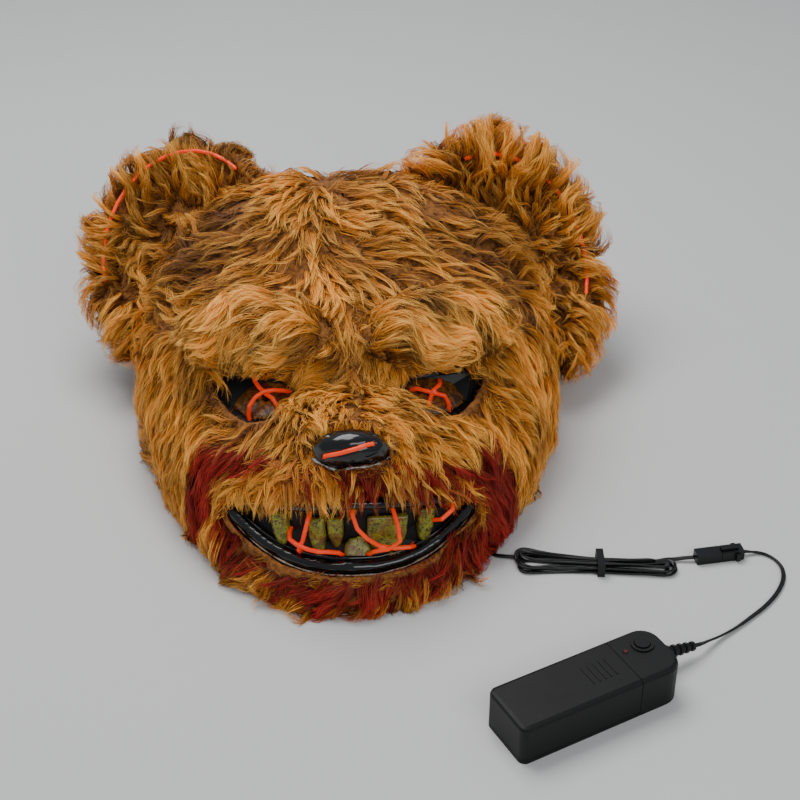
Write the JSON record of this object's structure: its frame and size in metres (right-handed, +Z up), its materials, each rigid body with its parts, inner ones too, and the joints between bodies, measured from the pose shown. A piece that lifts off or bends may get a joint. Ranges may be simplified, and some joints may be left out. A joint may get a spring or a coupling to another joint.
{
  "type": "bear mask",
  "caption": "Furry bear face mask with glossy eyes, nose and grinning mouth, laced light wires, and a battery case on a thin lead.",
  "frame": {"origin": "centre of the bottom of the box round the mask and the battery case, on the floor they rest on", "axes": "+Z up; the mask lies on its rim with its chin towards -Y and its crown towards +Y; +X is to the right as its face is seen"},
  "size_m": [0.4104, 0.4362, 0.1561],
  "materials": {
    "fur": "long pile",
    "brow_fur": "long pile",
    "moulded_black": "gloss",
    "gloss_black": "gloss",
    "eye_paint": "gloss, mottled",
    "tooth_paint": "satin, mottled",
    "light_wire": "satin",
    "elastic": "woven",
    "sleeve": "matte",
    "lead_black": "satin",
    "connector_black": "satin",
    "case_black": "satin",
    "led_lens": "gloss"
  },
  "bodies": {
    "root": {"face_shell": "moulded_black", "face_fur": "fur", "brow_left": "brow_fur", "brow_right": "brow_fur", "ear_left": "fur", "ear_right": "fur", "el_wire_ear_left": "light_wire", "el_wire_ear_right": "light_wire", "eye_left": "eye_paint", "eye_right": "eye_paint", "nose": "gloss_black", "lip_lower": "gloss_black", "lip_upper": "gloss_black", "tooth_upper_1": "tooth_paint", "tooth_upper_2": "tooth_paint", "tooth_upper_3": "tooth_paint", "tooth_upper_4": "tooth_paint", "tooth_upper_5": "tooth_paint", "tooth_lower_1": "tooth_paint", "tooth_lower_2": "tooth_paint", "tooth_lower_3": "tooth_paint", "el_wire_eye_left": "light_wire", "el_wire_eye_right": "light_wire", "el_wire_nose": "light_wire", "el_wire_mouth_left": "light_wire", "el_wire_mouth_right": "light_wire", "head_strap": "elastic", "wire_splice": "sleeve", "battery_case": "case_black", "indicator_led": "led_lens", "strain_relief": "case_black", "lead_mask": "lead_black", "lead_hank": "lead_black", "hank_tie": "lead_black", "lead_plug": "lead_black", "lead_case": "lead_black", "connector_plug": "connector_black", "connector_socket": "connector_black"},
    "battery_cover": {"battery_cover": "case_black"},
    "power_button": {"power_button": "case_black"}
  },
  "joints": [
    {"name": "cover_slide", "type": "slide", "parent": "root", "child": "battery_cover", "axis": [-0.8746, -0.4848, 0], "range_m": [0, 0.072]},
    {"name": "button_press", "type": "slide", "parent": "root", "child": "power_button", "axis": [0, 0, -1], "range_m": [0, 0.0012], "stiffness_N_per_m": 400}
  ]
}
